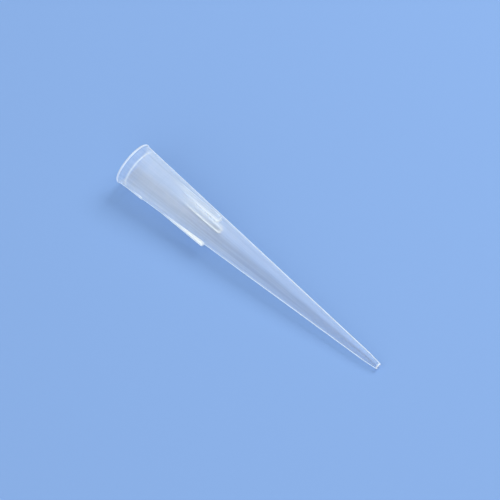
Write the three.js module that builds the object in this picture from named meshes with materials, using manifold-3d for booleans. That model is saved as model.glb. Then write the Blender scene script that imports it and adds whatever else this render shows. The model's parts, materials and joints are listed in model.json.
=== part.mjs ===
import * as THREE from "three";
import { mergeVertices, toCreasedNormals } from "three/addons/utils/BufferGeometryUtils.js";
import Module from "manifold-3d";

// A disposable 200 microlitre pipette tip of the universal kind, moulded in one piece.
//
// Lengths are in millimetres. The tip is drawn about its own axis: a station is a distance along
// that axis from the rim face, and a radius is measured from it. The finished tip then lies on the
// bench, z = 0, with its mouth towards -X and its small end towards +X.

// Outside of the cone
const TIP_LENGTH = 51;
const RIM_RADIUS = 3.66;
const SHOULDER_RADIUS = 0.8;
const NOSE_LENGTH = 2.45;
const NOSE_RADIUS = 0.51;
const FACETS = 72;

// Bead round the rim
const BEAD_WIDTH = 0.4;
const BEAD_HEIGHT = 0.1;
const BEAD_STEPS = 6;

// Bore: a thin entry lip, the taper that seats on the pipette's nozzle, then the liquid's bore
const LIP_DEPTH = 1.3;
const LIP_WALL = 0.22;
const LIP_CHAMFER = 0.28;
const SEAT_WALL = 0.42;
const SEAT_END = 11.8;
const LEDGE_DEPTH = 0.1;
const BODY_WALL = 0.5;
const SHOULDER_BORE_RADIUS = 0.34;
const ORIFICE_RADIUS = 0.25;

// Ribs that hang the tip in a rack: each has a face parallel to the axis and a blunt lower end
const RIB_COUNT = 3;
const RIB_RADIUS = 3.18;
const RIB_WIDTH = 1.2;
const RIB_END = 17.5;
const RIB_EDGE_RADIUS = 0.38;
const RIB_CORNER_RADIUS = 0.44;

// Small pad that the mould leaves on the collar, in line with one rib
const PAD_RADIUS = 3.49;
const PAD_WIDTH = 1;
const PAD_END = 5.15;
const PAD_EDGE_RADIUS = 0.05;
const PAD_CORNER_RADIUS = 0.25;
const PAD_RIB = 2;

// Rounding of edges, in flat steps
const EDGE_STEPS = 4;
const CORNER_STEPS = 5;

// How deep a bar starts below the cone's skin, and how far the bore's cutter passes each end
const BURIED_DEPTH = 0.08;
const CUT_PAST = 1;

// Corners nearer than this are one corner, and an edge sharper than this, in degrees, shows as one
const WELD_DISTANCE = 1e-5;
const CREASE_ANGLE = 30;

const NATURAL = { color: 0xdfe8f3, roughness: 0.34, metalness: 0, transparent: true, opacity: 0.62 };

const wasm = await Module();
wasm.setup();

const shoulder = TIP_LENGTH - NOSE_LENGTH;
const bodyStart = SEAT_END + LEDGE_DEPTH;
const coneSlope = (RIM_RADIUS - SHOULDER_RADIUS) / shoulder;

// Radius of the cone above the nose, and the station where the cone has a given radius
const coneRadius = (station) => RIM_RADIUS - coneSlope * station;
const coneStation = (radius) => (RIM_RADIUS - radius) / coneSlope;

const seatRadius = (station) => coneRadius(station) - SEAT_WALL;
const bodyRadius = (station) => {
  const along = (station - bodyStart) / (shoulder - bodyStart);
  return THREE.MathUtils.lerp(coneRadius(bodyStart) - BODY_WALL, SHOULDER_BORE_RADIUS, along);
};

// Resting place. The bead and the first of the nose's two ends touch the bench, each on the facet
// that faces down, and the tip has rolled until one rib touches it too.
const facetDepth = Math.cos(Math.PI / FACETS);
const beadStation = BEAD_WIDTH / 2;
const beadRadius = coneRadius(beadStation) + BEAD_HEIGHT;
const slopeTo = (station, radius) => (facetDepth * (beadRadius - radius)) / (station - beadStation);
const restSlope = Math.min(slopeTo(shoulder, SHOULDER_RADIUS), slopeTo(TIP_LENGTH, NOSE_RADIUS));
const benchDepth = (station) => facetDepth * beadRadius - restSlope * (station - beadStation);

// Angle from straight down to the lowest rib, at which the rounded edge of its back meets the bench.
// A rib too low to reach the bench lies straight down.
function restingRibAngle() {
  const edgeAcross = RIB_WIDTH / 2 - RIB_EDGE_RADIUS;
  const edgeOut = RIB_RADIUS - RIB_EDGE_RADIUS;
  const reach = Math.hypot(edgeAcross, edgeOut);
  const bench = benchDepth(RIB_END - RIB_CORNER_RADIUS) - RIB_EDGE_RADIUS;
  return bench < reach ? Math.atan2(edgeAcross, edgeOut) + Math.acos(bench / reach) : 0;
}

// Three.js revolves a profile about Y and counts its angle from +Z, so straight down is at PI
const DOWN = Math.PI;

function toSolid(geometry) {
  geometry.deleteAttribute("normal");
  geometry.deleteAttribute("uv");
  const merged = mergeVertices(geometry, WELD_DISTANCE);
  const vertProperties = new Float32Array(merged.attributes.position.array);
  const triVerts = new Uint32Array(merged.index.array);
  return new wasm.Manifold(new wasm.Mesh({ numProp: 3, vertProperties, triVerts }));
}

function toGeometry(solid) {
  const { vertProperties, triVerts } = solid.getMesh();
  const geometry = new THREE.BufferGeometry();
  geometry.setAttribute("position", new THREE.BufferAttribute(vertProperties, 3));
  geometry.setIndex(new THREE.BufferAttribute(triVerts, 1));
  return toCreasedNormals(geometry, THREE.MathUtils.degToRad(CREASE_ANGLE));
}

// A closed profile of [radius, station] points, turned about the axis with one facet facing down
function revolve(profile) {
  const points = profile.map(([radius, station]) => new THREE.Vector2(radius, station));
  return toSolid(new THREE.LatheGeometry(points, FACETS, Math.PI / FACETS));
}

// Half-round bead: an arc through the rim edge, the crown and the foot of the bead on the cone
function beadProfile() {
  const arcRadius = (beadStation ** 2 + BEAD_HEIGHT ** 2) / (2 * BEAD_HEIGHT);
  const halfAngle = Math.asin(beadStation / arcRadius);
  const profile = [];
  for (let step = 0; step <= BEAD_STEPS; step += 1) {
    const angle = halfAngle * ((2 * step) / BEAD_STEPS - 1);
    const station = beadStation + arcRadius * Math.sin(angle);
    const rise = arcRadius * (Math.cos(angle) - Math.cos(halfAngle));
    profile.push([coneRadius(station) + rise, station]);
  }
  return profile;
}

function outside() {
  return revolve([
    [0, 0],
    ...beadProfile(),
    [SHOULDER_RADIUS, shoulder],
    [NOSE_RADIUS, TIP_LENGTH],
    [0, TIP_LENGTH],
  ]);
}

function bore() {
  const seatStart = LIP_DEPTH + LIP_CHAMFER;
  return revolve([
    [0, -CUT_PAST],
    [RIM_RADIUS - LIP_WALL, -CUT_PAST],
    [RIM_RADIUS - LIP_WALL, 0],
    [coneRadius(LIP_DEPTH) - LIP_WALL, LIP_DEPTH],
    [seatRadius(seatStart), seatStart],
    [seatRadius(SEAT_END), SEAT_END],
    [bodyRadius(bodyStart), bodyStart],
    [SHOULDER_BORE_RADIUS, shoulder],
    [ORIFICE_RADIUS, TIP_LENGTH],
    [ORIFICE_RADIUS, TIP_LENGTH + CUT_PAST],
    [0, TIP_LENGTH + CUT_PAST],
  ]);
}

// A bar along the cone with its back parallel to the axis, at one angle round the tip. It comes out
// of the cone where the cone gets narrower than its back, or at the bead if the cone is never wider.
// Its lower end and its long edges are round.
function bar({ radius, width, end, edge, corner, angle }) {
  const half = width / 2 - edge;
  const round = corner - edge;
  const last = end - edge;
  const emerging = coneStation(Math.hypot(radius, width / 2) + BURIED_DEPTH);
  const start = Math.max(emerging, BEAD_WIDTH + edge);
  const root = bodyRadius(end);
  const plan = new THREE.Shape();
  plan.moveTo(-half, start);
  plan.lineTo(half, start);
  plan.lineTo(half, last - round);
  plan.absarc(half - round, last - round, round, 0, Math.PI / 2);
  plan.lineTo(round - half, last);
  plan.absarc(round - half, last - round, round, Math.PI / 2, Math.PI);
  plan.closePath();
  const geometry = new THREE.ExtrudeGeometry(plan, {
    depth: radius - edge - root,
    bevelThickness: edge,
    bevelSize: edge,
    bevelSegments: EDGE_STEPS,
    curveSegments: CORNER_STEPS,
  });
  geometry.translate(0, 0, root);
  geometry.rotateY(angle);
  return toSolid(geometry);
}

function rib(index) {
  return bar({
    radius: RIB_RADIUS,
    width: RIB_WIDTH,
    end: RIB_END,
    edge: RIB_EDGE_RADIUS,
    corner: RIB_CORNER_RADIUS,
    angle: ribAngle(index),
  });
}

function pad() {
  return bar({
    radius: PAD_RADIUS,
    width: PAD_WIDTH,
    end: PAD_END,
    edge: PAD_EDGE_RADIUS,
    corner: PAD_CORNER_RADIUS,
    angle: ribAngle(PAD_RIB),
  });
}

function ribAngle(index) {
  return DOWN + restingRibAngle() + (2 * Math.PI * index) / RIB_COUNT;
}

function pipetteTip() {
  let body = outside();
  for (let index = 0; index < RIB_COUNT; index += 1) {
    body = body.add(rib(index));
  }
  const solid = body.add(pad()).subtract(bore());
  const mesh = new THREE.Mesh(toGeometry(solid), new THREE.MeshStandardMaterial(NATURAL));
  mesh.name = "pipette_tip";
  // Lay the axis along +X
  mesh.rotation.z = -Math.PI / 2;
  return mesh;
}

// Tip the small end down to its resting slope, then stand the middle of the box on the origin
const tip = new THREE.Group();
tip.add(pipetteTip());
tip.rotation.y = Math.atan(restSlope);
tip.updateMatrixWorld(true);
const box = new THREE.Box3().setFromObject(tip, true);
const middle = box.getCenter(new THREE.Vector3());
tip.position.set(-middle.x, -middle.y, -box.min.z);

export default tip;
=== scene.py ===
"""A 200 microlitre pipette tip of natural polypropylene, lying on a pale bench.

The tip is one moulded piece. Its skin is one closed mesh: rings of points go down the outside from
the rim to the small end, and come back up the bore to the rim. Sizes are in millimetres, and a
station is a distance along the tip's axis from its rim.
"""

import json
import math

import bpy
import numpy as np
from mathutils import Matrix, Vector


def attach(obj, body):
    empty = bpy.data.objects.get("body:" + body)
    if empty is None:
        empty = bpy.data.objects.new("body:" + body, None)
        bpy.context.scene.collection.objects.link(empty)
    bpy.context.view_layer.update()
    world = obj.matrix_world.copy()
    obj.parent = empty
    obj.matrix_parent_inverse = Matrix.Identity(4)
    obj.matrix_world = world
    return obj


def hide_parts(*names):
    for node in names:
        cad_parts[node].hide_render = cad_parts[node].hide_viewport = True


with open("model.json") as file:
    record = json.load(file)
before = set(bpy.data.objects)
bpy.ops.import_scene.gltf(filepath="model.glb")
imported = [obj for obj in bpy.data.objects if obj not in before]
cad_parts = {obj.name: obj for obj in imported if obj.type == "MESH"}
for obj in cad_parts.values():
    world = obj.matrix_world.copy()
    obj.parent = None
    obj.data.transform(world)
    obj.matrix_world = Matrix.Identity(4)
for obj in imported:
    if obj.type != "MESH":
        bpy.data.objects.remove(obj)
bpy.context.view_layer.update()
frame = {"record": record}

MM = 0.001

# Outside of the cone and the bead round its rim
TIP_LENGTH = 51
RIM_RADIUS = 3.66
SHOULDER_RADIUS = 0.8
NOSE_LENGTH = 2.45
NOSE_RADIUS = 0.51
NOSE_EDGE = 0.3
BEAD_WIDTH = 0.4
BEAD_HEIGHT = 0.1

# Bore: a thin entry lip, the taper that seats on the pipette's nozzle, then the liquid's bore
LIP_DEPTH = 1.3
LIP_WALL = 0.22
LIP_CHAMFER = 0.28
SEAT_WALL = 0.42
SEAT_END = 11.8
LEDGE_DEPTH = 0.1
BODY_WALL = 0.5
SHOULDER_BORE_RADIUS = 0.34
ORIFICE_RADIUS = 0.25
BORE_ROUNDING = 0.06

# Bars moulded on the cone: three ribs for the rack, and a small pad in line with the last of them
RIB_COUNT = 3
RIB = dict(back=3.18, width=1.2, end=17.5, edge=0.38, corner=0.44)
PAD = dict(back=3.49, width=1.0, end=5.15, edge=0.05, corner=0.25)
PAD_RIB = 2
FIRST_RIB_ANGLE = math.radians(38.16)
ROOT_FILLET = 0.12

# How steeply the side of a bar climbs where it starts to show as one, and the most that counts
SIDE_STARTS = 0.15
SIDE_STEEPEST = 1.5

# Height over the cone at which a bar shows in full, and at which its painted outline shows in the
# bore
BAR_SHOWS = 0.12
OUTLINE_SHOWS = 0.25

# The painted highlight line on the chamfer: how far it lies before the seat, and how far it
# spreads
SEAT_LINE_BACK = 0.09
SEAT_LINE_SPREAD = 0.07

# The frame's solid is turned in flats, so a round skin that fits inside it is this much smaller
FLATS = 72
FIT = math.cos(math.pi / FLATS) - 0.0006

# Places tried when the mesh is spaced out, and halvings that find each radius of the skin
PLACES_TRIED = 8001
HALVINGS = 26

shoulder = TIP_LENGTH - NOSE_LENGTH
seat_start = LIP_DEPTH + LIP_CHAMFER
body_start = SEAT_END + LEDGE_DEPTH


def cone_radius(station):
    return RIM_RADIUS - (RIM_RADIUS - SHOULDER_RADIUS) / shoulder * station


def nose_radius(station):
    return SHOULDER_RADIUS - (SHOULDER_RADIUS - NOSE_RADIUS) / NOSE_LENGTH * (station - shoulder)


def rib_angle(index):
    """Angle of a rib from straight down, towards +Y."""
    return FIRST_RIB_ANGLE + 2 * math.pi * index / RIB_COUNT


# --- The skin ---


def spaced(start, stop, marks, fine, coarse, reach):
    """Places from start to stop, fine apart at each mark and coarse apart away from the marks."""
    places = np.linspace(start, stop, PLACES_TRIED)
    near = np.exp(-(((places[:, None] - np.asarray(marks)) / reach) ** 2)).max(axis=1)
    steps = coarse * (fine / coarse) ** near
    count = np.concatenate([[0], np.cumsum(np.diff(places) / steps[1:])])
    return np.interp(np.linspace(0, count[-1], round(count[-1]) + 1), count, places)


def bar_distance(out, across, station, back, width, end, edge, corner):
    """Signed distance to a bar with a flat back, round long edges and a round lower end."""
    over_side = np.abs(across) - (width / 2 - corner)
    over_end = station - (end - corner)
    plan = np.hypot(np.maximum(over_side, 0), np.maximum(over_end, 0)) - corner
    plan += np.minimum(np.maximum(over_side, over_end), 0)
    past_edge = np.maximum(plan, -out) + edge
    past_back = out - (back - edge)
    rounded = np.hypot(np.maximum(past_edge, 0), np.maximum(past_back, 0)) - edge
    return rounded + np.minimum(np.maximum(past_edge, past_back), 0)


def filleted(one, other):
    """Two signed distances joined as one skin, with a fillet in the corner between them."""
    blend = np.maximum(ROOT_FILLET - np.abs(one - other), 0) / ROOT_FILLET
    return np.minimum(one, other) - blend**2 * ROOT_FILLET / 4


def outer_radius(station, angle):
    """Radius of the cone with its ribs and its pad, for grids of stations and angles."""
    bars = [(RIB, rib_angle(index)) for index in range(RIB_COUNT)]
    bars.append((PAD, rib_angle(PAD_RIB)))
    low = cone_radius(station) - ROOT_FILLET
    high = np.full_like(low, RIM_RADIUS + BEAD_HEIGHT)
    for _ in range(HALVINGS):
        radius = (low + high) / 2
        skin = radius - cone_radius(station)
        for sizes, place in bars:
            out = radius * np.cos(angle - place)
            across = radius * np.sin(angle - place)
            skin = filleted(skin, bar_distance(out, across, station, **sizes))
        low = np.where(skin < 0, radius, low)
        high = np.where(skin < 0, high, radius)
    return (low + high) / 2


def bead_rings(steps=14):
    """Rings of the half-round bead, from the rim face to its foot on the cone."""
    middle = BEAD_WIDTH / 2
    arc = (middle**2 + BEAD_HEIGHT**2) / (2 * BEAD_HEIGHT)
    half = math.asin(middle / arc)
    for angle in np.linspace(-half, half, steps):
        station = middle + arc * math.sin(angle)
        yield station, cone_radius(station) + arc * (math.cos(angle) - math.cos(half))


def softened(corners, steps=4):
    """Rings along straight runs between corners of (station, radius, size of the rounding)."""
    for before, corner, after in zip(corners, corners[1:], corners[2:]):
        place = np.array(corner[:2])
        toward = np.array(before[:2]) - place
        away = np.array(after[:2]) - place
        start = place + toward / np.hypot(*toward) * corner[2]
        stop = place + away / np.hypot(*away) * corner[2]
        for t in np.linspace(0, 1, steps):
            yield tuple((1 - t) ** 2 * start + 2 * t * (1 - t) * place + t**2 * stop)


def divided(rings, places):
    """The same rings with more between them, one at each of the places."""
    whole = []
    for (s0, r0), (s1, r1) in zip(rings, rings[1:]):
        between = places[(places > min(s0, s1) + 0.01) & (places < max(s0, s1) - 0.01)]
        whole.append((s0, r0))
        for station in between if s1 > s0 else between[::-1]:
            whole.append((station, r0 + (r1 - r0) * (station - s0) / (s1 - s0)))
    return whole + [rings[-1]]


def bore_rings(places):
    """Rings from the nose, round the orifice, up the bore and over the lip to the rim face."""
    nose_end = TIP_LENGTH - NOSE_EDGE
    corners = [
        (shoulder, SHOULDER_RADIUS, 0),
        (nose_end, nose_radius(nose_end), 0.02),
        (TIP_LENGTH, NOSE_RADIUS, 0.05),
        (TIP_LENGTH, ORIFICE_RADIUS, 0.03),
        (shoulder, SHOULDER_BORE_RADIUS, 0.4),
        (body_start, cone_radius(body_start) - BODY_WALL, BORE_ROUNDING),
        (SEAT_END, cone_radius(SEAT_END) - SEAT_WALL, BORE_ROUNDING),
        (seat_start, cone_radius(seat_start) - SEAT_WALL, BORE_ROUNDING),
        (LIP_DEPTH, cone_radius(LIP_DEPTH) - LIP_WALL, BORE_ROUNDING),
        (0, RIM_RADIUS - LIP_WALL, BORE_ROUNDING),
        (0, RIM_RADIUS, 0),
    ]
    return divided(list(softened(corners)), places)


def angles_round():
    """Angles of the mesh's columns, closest together at the sides of the ribs."""
    side = math.asin(RIB["width"] / 2 / (RIB["back"] - RIB["edge"]))
    sides = [rib_angle(index) + way * side + turn for index in range(RIB_COUNT)
             for way in (-1, 1) for turn in (0, -2 * math.pi)]
    return spaced(0, 2 * math.pi, sides, fine=math.radians(0.25), coarse=math.radians(2.2),
                  reach=math.radians(3.2))[:-1]


def tip_mesh():
    """The skin as one closed mesh, with its axis along +X and straight down at -Z."""
    angles = angles_round()
    bar_ends = [PAD["end"], RIB["end"] - RIB["edge"] / 3]
    chamfer = LIP_DEPTH + LIP_CHAMFER / 2
    cone = spaced(BEAD_WIDTH, shoulder, bar_ends, fine=0.028, coarse=0.42, reach=0.45)[1:]
    inner = spaced(0, TIP_LENGTH, bar_ends + [chamfer], fine=0.04, coarse=1.2, reach=0.4)

    bead = list(bead_rings())
    bore = bore_rings(inner)
    on_cone = slice(len(bead), len(bead) + len(cone))
    stations = np.array([s for s, _ in bead] + list(cone) + [s for s, _ in bore])
    radii = np.array([r for _, r in bead] + [0] * len(cone) + [r for _, r in bore])
    grid = np.repeat(radii[:, None], len(angles), axis=1)
    grid[on_cone] = outer_radius(*np.meshgrid(cone, angles, indexing="ij"))
    grid *= FIT

    rings, columns = grid.shape
    points = np.stack([np.repeat(stations[:, None], columns, axis=1),
                       grid * np.sin(angles), -grid * np.cos(angles)], axis=-1)
    first = np.arange(rings * columns).reshape(rings, columns)
    beside = np.roll(first, -1, axis=1)
    below = np.roll(first, -1, axis=0)
    across = np.roll(beside, -1, axis=0)
    faces = np.stack([first, beside, across, below], axis=-1).reshape(-1, 4)

    mesh = bpy.data.meshes.new("tip_skin")
    mesh.from_pydata(points.reshape(-1, 3) * MM, [], faces.tolist())
    mesh.shade_smooth()
    mark_skin(mesh, stations, angles, grid, on_cone)
    return mesh


# --- What the finish needs to know about each point of the skin ---


def mark_skin(mesh, stations, angles, grid, on_cone):
    """Marks the wall's thickness, its outside, its edges with their painted highlight, the bars
    and the sides of the bars.
    """
    cone = stations[on_cone]
    outside = np.arange(len(stations)) <= np.argmax(stations > TIP_LENGTH - 1e-6)
    proud = np.zeros(grid.shape)
    proud[on_cone] = np.maximum(grid[on_cone] - FIT * cone_radius(cone)[:, None], 0)

    # The bore carries a painted outline of the bars too, from where they stand clear of the cone
    climb = steepness(proud[on_cone], grid[on_cone], cone, angles)
    flank = np.clip(climb - SIDE_STARTS, 0, SIDE_STEEPEST)
    flank = flank[np.abs(stations[:, None] - cone).argmin(axis=1)]
    clear_of_cone = np.clip((RIB["back"] - cone_radius(stations)) / OUTLINE_SHOWS, 0, 1)
    flank *= np.where(outside, 1, clear_of_cone)[:, None]

    mark(mesh, "wall", grid.shape, wall_at(stations)[:, None])
    mark(mesh, "outside", grid.shape, outside[:, None])
    # The edge mark sets where the painted highlight of the edges goes
    mark(mesh, "edge", grid.shape, painted_edge_highlight(stations, outside)[:, None])
    mark(mesh, "bar", grid.shape, np.clip(proud / BAR_SHOWS, 0, 1))
    mark(mesh, "flank", grid.shape, flank)


def wall_at(station):
    """Thickness of the wall at a station, without the bars."""
    places = [0, LIP_DEPTH, seat_start, SEAT_END, shoulder, TIP_LENGTH]
    walls = [LIP_WALL, LIP_WALL, SEAT_WALL, BODY_WALL, SHOULDER_RADIUS - SHOULDER_BORE_RADIUS,
             NOSE_RADIUS - ORIFICE_RADIUS]
    return np.interp(station, places, walls)


def painted_edge_highlight(stations, outside):
    """How strongly a ring carries the painted highlight of an edge, which stands in for the light
    running in the wall.
    """
    from_line = np.abs(stations - (seat_start - SEAT_LINE_BACK))
    chamfer = ~outside * np.clip(1 - from_line / SEAT_LINE_SPREAD, 0, 1)
    ledge = ~outside & (stations > SEAT_END - 0.03) & (stations < body_start + 0.03)
    bead = outside & (stations < BEAD_WIDTH * 0.8)
    faces = (stations < 0.02) | (outside & (stations > TIP_LENGTH - 0.2))
    return 2.6 * chamfer + 0.45 * bead + 1.0 * faces + 0.08 * ledge


def steepness(height, radius, stations, angles):
    """How steeply a height on the cone climbs, round it and along it."""
    apart = (np.roll(angles, -1) - np.roll(angles, 1)) % (2 * math.pi)
    round_it = (np.roll(height, -1, axis=1) - np.roll(height, 1, axis=1)) / (radius * apart)
    return np.hypot(round_it, np.gradient(height, stations, axis=0))


def mark(mesh, name, shape, values):
    """Keeps one number for each point of the mesh."""
    layer = mesh.attributes.new(name, "FLOAT", "POINT")
    spread_out = np.broadcast_to(np.asarray(values, dtype=np.float32), shape)
    layer.data.foreach_set("value", spread_out.ravel())


def resting_place():
    """Where the frame's tip lies, from the middle of its rim and the way its mouth faces."""
    rim = next(mount for mount in frame["record"]["mounts"] if mount["name"] == "rim_face")
    along = -Vector(rim["axis"]).normalized()
    across = Vector((0, 1, 0))
    out = along.cross(across).normalized()
    ring_middle = (RIM_RADIUS - LIP_WALL / 2) * MM
    turn = Matrix((along, across, out)).transposed()
    return Matrix.Translation(Vector(rim["pos_m"]) - out * ring_middle) @ turn.to_4x4()


# --- Finishes ---


class Nodes:
    """A material's node tree, with one call for each step that is added to it."""

    def __init__(self, material):
        self.tree = material.node_tree

    def add(self, kind, inputs=(), **settings):
        node = self.tree.nodes.new("ShaderNode" + kind)
        for name, value in settings.items():
            setattr(node, name, value)
        for name, value in dict(inputs).items():
            self.feed(node, name, value)
        return node

    def feed(self, node, name, value):
        if isinstance(value, bpy.types.NodeSocket):
            self.tree.links.new(value, node.inputs[name])
        else:
            node.inputs[name].default_value = value

    def math(self, operation, *values):
        return self.add("Math", enumerate(values), operation=operation).outputs["Value"]

    def plus(self, first, *others):
        for other in others:
            first = self.math("ADD", first, other)
        return first

    def times(self, first, *others):
        for other in others:
            first = self.math("MULTIPLY", first, other)
        return first

    def less(self, value):
        """What a value leaves of one."""
        return self.math("SUBTRACT", 1, value)

    def spread(self, value, low, high, start, stop, **settings):
        """Takes value from low to high over to start to stop, and holds it there."""
        ends = {"Value": value, "From Min": low, "From Max": high, "To Min": start, "To Max": stop}
        return self.add("MapRange", ends, **settings).outputs["Result"]

    def marked(self, name):
        """A number kept for each point of the mesh."""
        return self.add("Attribute", attribute_name=name).outputs["Fac"]


def mould_marks(nodes):
    """Where a point lies on the tip, and what the mould has left there.

    Gives the station in metres, the way out from the axis, streaks drawn out along the cone, and
    fine rings turned round it.
    """
    at_rest = resting_place()
    to_axis = at_rest.inverted()
    where = nodes.add("TexCoord").outputs["Object"]
    turned = {"Vector": where, "Location": to_axis.translation, "Rotation": to_axis.to_euler()}
    place = nodes.add("SeparateXYZ", {"Vector": nodes.add("Mapping", turned).outputs["Vector"]})
    station, across, out = (place.outputs[axis] for axis in "XYZ")

    # The streaks change with the angle round the axis, and only slowly with the station
    outward = nodes.add("CombineXYZ", {"Y": across, "Z": out}).outputs["Vector"]
    angle = nodes.add("VectorMath", {0: outward}, operation="NORMALIZE").outputs["Vector"]
    way_out = nodes.add("Mapping", {"Vector": angle, "Rotation": at_rest.to_euler()},
                        vector_type="VECTOR").outputs["Vector"]
    spaced_out = nodes.add("VectorMath", {0: angle, "Scale": 8}, operation="SCALE")
    flow = {"Vector": spaced_out.outputs["Vector"], "W": nodes.times(station, 60),
            "Scale": 1, "Detail": 3}
    streaks = nodes.add("TexNoise", flow, noise_dimensions="4D").outputs["Fac"]
    lathe = {"W": nodes.times(station, 5200), "Scale": 1, "Detail": 3}
    rings = nodes.add("TexNoise", lathe, noise_dimensions="1D").outputs["Fac"]
    return station, way_out, streaks, rings


def haze(nodes, station, way_out, streaks):
    """Share of the light that a side of the wall stops. The rest goes straight through it."""
    wall, outside, edge, bar, flank = (
        nodes.marked(name) for name in ("wall", "outside", "edge", "bar", "flank"))
    slant = nodes.add("LayerWeight", {"Blend": 0.5}).outputs["Facing"]
    behind = nodes.add("NewGeometry").outputs["Backfacing"]

    # The sides that a line of sight crosses: the near outside, both of the bore, the far outside
    near = nodes.math("ABSOLUTE", nodes.math("SUBTRACT", outside, behind))
    near_outside = nodes.times(outside, near)
    far_outside = nodes.times(outside, behind)
    far_bore = nodes.times(nodes.less(outside), nodes.less(near))

    # Milkiness of the plastic, less where the wall is thin. Nearly all of it lies on the side that
    # is seen first, and it grows as the wall turns away.
    milk = nodes.times(nodes.spread(station, 12 * MM, 40 * MM, 0.6, 0.38),
                       nodes.spread(streaks, 0.25, 0.75, 0.8, 1.25),
                       nodes.math("POWER", wall, 0.6))
    shared = nodes.plus(nodes.spread(near_outside, 0, 1, 0.05, 0.52),
                        nodes.times(far_bore, nodes.spread(station, 8 * MM, 24 * MM, 0.5, 0)))
    on_bars = nodes.plus(nodes.times(near_outside, 0.12), nodes.times(far_outside, 0.3))
    off_sides = nodes.spread(flank, 0.2, 1, 1, 0)
    turned = nodes.times(slant, off_sides, nodes.spread(outside, 0, 1, 0.3, 0.95))
    body = nodes.math("DIVIDE", nodes.plus(nodes.times(milk, shared), nodes.times(bar, on_bars)),
                      nodes.less(turned))

    # Painted highlight: haze added on the edges makes them white, standing in for the light that
    # runs in the wall
    edges = nodes.times(edge, nodes.spread(near, 0, 1, 0.1, 1.2))

    # Painted highlight on the sides of the bars and their outline in the bore
    sides = painted_bar_highlight(nodes, flank, slant, way_out, near_outside, far_outside, far_bore)
    stopped = nodes.plus(body, edges, sides)
    clear = nodes.math("EXPONENT", nodes.times(stopped, -1))

    # Painted highlight: a thin white line of added haze follows the outside where it turns out of
    # sight
    turning = nodes.spread(station, 10 * MM, TIP_LENGTH * MM, 0.68, 0.4)
    outline = nodes.spread(slant, turning, nodes.plus(turning, 0.22), 0, 1,
                           interpolation_type="SMOOTHSTEP")
    clear = nodes.times(clear, nodes.less(nodes.times(outline, outside, 0.9)))

    # The wall also bends light away from behind it, so its shadow is a little deeper
    shadow = nodes.add("LightPath").outputs["Is Shadow Ray"]
    return nodes.less(nodes.times(clear, nodes.spread(shadow, 0, 1, 1, 0.88)))


def painted_bar_highlight(nodes, flank, slant, way_out, near_outside, far_outside, far_bore):
    """Painted highlight on the bars' sides: added haze makes them white, standing in for the light
    that runs in the wall.

    A bar that is seen side-on is the whitest, because its whole width lies behind its side. The
    bore carries its painted outline.
    """
    side_on = nodes.add("LayerWeight", {"Blend": 0.5, "Normal": way_out}).outputs["Facing"]
    sloping = nodes.times(nodes.spread(flank, 0.05, 0.5, 0, 1),
                          nodes.spread(side_on, 0.1, 0.75, 0.2, 1.0))
    upright = nodes.times(nodes.spread(flank, 0.8, 1.5, 0, 0.8),
                          nodes.spread(slant, 0, 1, 1, 0.4))
    near_sides = nodes.times(near_outside, nodes.plus(sloping, upright))
    far_sides = nodes.times(far_outside, nodes.spread(flank, 0.03, 0.4, 0, 3), side_on)
    painted_bore_outline = nodes.times(far_bore, flank, 1.8)
    return nodes.plus(near_sides, far_sides, painted_bore_outline)


def polypropylene():
    """Uncoloured polypropylene: a clear, milky wall with the satin of the mould."""
    material = bpy.data.materials.new("natural_polypropylene")
    material.use_nodes = True
    nodes = Nodes(material)
    shader = material.node_tree.nodes["Principled BSDF"]
    station, way_out, streaks, rings = mould_marks(nodes)

    tint = nodes.add("ValToRGB", {"Fac": streaks})
    tint.color_ramp.elements[0].color = (0.83, 0.92, 1.0, 1)
    tint.color_ramp.elements[1].color = (0.90, 0.96, 1.0, 1)
    relief = nodes.plus(nodes.times(rings, 0.6), streaks)
    bump = nodes.add("Bump", {"Height": relief, "Strength": 0.25, "Distance": 0.02 * MM})

    nodes.feed(shader, "Base Color", tint.outputs["Color"])
    nodes.feed(shader, "Roughness", nodes.spread(rings, 0.3, 0.7, 0.26, 0.4))
    nodes.feed(shader, "Normal", bump.outputs["Normal"])
    nodes.feed(shader, "Alpha", haze(nodes, station, way_out, streaks))
    shader.inputs["IOR"].default_value = 1.49
    shader.inputs["Subsurface Weight"].default_value = 1.0
    shader.inputs["Subsurface Radius"].default_value = (1, 1, 1)
    shader.inputs["Subsurface Scale"].default_value = 0.3 * MM
    return material


def bench_top():
    """Smooth pale bench."""
    material = bpy.data.materials.new("bench")
    material.use_nodes = True
    shader = material.node_tree.nodes["Principled BSDF"]
    shader.inputs["Base Color"].default_value = (0.205, 0.345, 0.63, 1)
    shader.inputs["Roughness"].default_value = 0.9
    shader.inputs["Specular IOR Level"].default_value = 0.1
    return material


# --- The set ---


def added(name, data):
    """A new object in the scene."""
    thing = bpy.data.objects.new(name, data)
    bpy.context.collection.objects.link(thing)
    return thing


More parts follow.
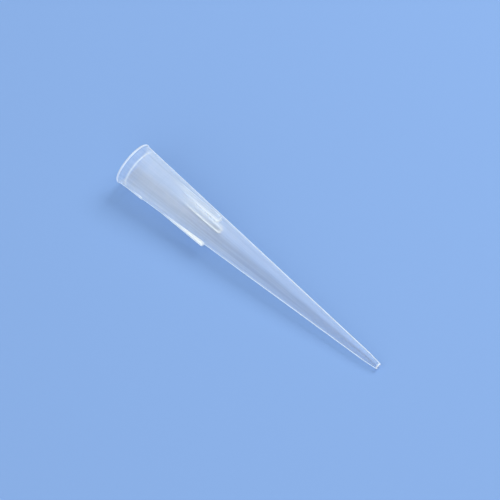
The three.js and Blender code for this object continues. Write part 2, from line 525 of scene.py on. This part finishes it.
def direction(azimuth, elevation):
    """The way from the tip to something seen at an azimuth and elevation, in degrees."""
    az, el = math.radians(azimuth), math.radians(elevation)
    return Vector((math.sin(az) * math.cos(el), -math.cos(az) * math.cos(el), math.sin(el)))


def lay_bench(half=2.0):
    mesh = bpy.data.meshes.new("bench")
    mesh.from_pydata([(-half, -half, 0), (half, -half, 0), (half, half, 0), (-half, half, 0)],
                     [], [(0, 1, 2, 3)])
    mesh.materials.append(bench_top())
    added("bench", mesh)


def light_from(name, azimuth, elevation, distance, size, power):
    """A square soft lamp that faces the tip."""
    data = bpy.data.lights.new(name, "AREA")
    data.size = size
    data.energy = power
    lamp = added(name, data)
    away = direction(azimuth, elevation)
    lamp.location = away * distance
    lamp.rotation_euler = away.to_track_quat("Z", "Y").to_euler()


def studio_air(strength):
    world = bpy.data.worlds.new("studio")
    world.use_nodes = True
    background = world.node_tree.nodes["Background"]
    background.inputs["Color"].default_value = (0.9, 0.95, 1.0, 1)
    background.inputs["Strength"].default_value = strength
    bpy.context.scene.world = world


def camera(azimuth, elevation, distance, lens, right, up):
    """Looks at the tip's middle from azimuth and elevation, moved right and up in its own view."""
    data = bpy.data.cameras.new("camera")
    data.lens = lens
    data.sensor_width = 36
    data.clip_start = 10 * MM
    seen_from = added("camera", data)
    back = direction(azimuth, elevation)
    turn = back.to_track_quat("Z", "Y")
    middle = Vector((0, 0, 3 * MM))
    seen_from.location = middle + turn @ Vector((right, up, 0)) + back * distance
    seen_from.rotation_mode = "QUATERNION"
    seen_from.rotation_quaternion = turn
    bpy.context.scene.camera = seen_from


tip = added("pipette_tip_skin", tip_mesh())
tip.data.transform(resting_place())
tip.data.materials.append(polypropylene())
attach(tip, "root")
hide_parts("pipette_tip")

lay_bench()
studio_air(0.35)
light_from("key", azimuth=172, elevation=50, distance=0.5, size=0.25, power=1.9)
light_from("fill", azimuth=10, elevation=30, distance=0.7, size=1.2, power=7.5)
camera(azimuth=41.6, elevation=62.5, distance=0.6, lens=279.9, right=-0.565 * MM, up=1.7 * MM)

bpy.context.scene.view_settings.view_transform = "Standard"
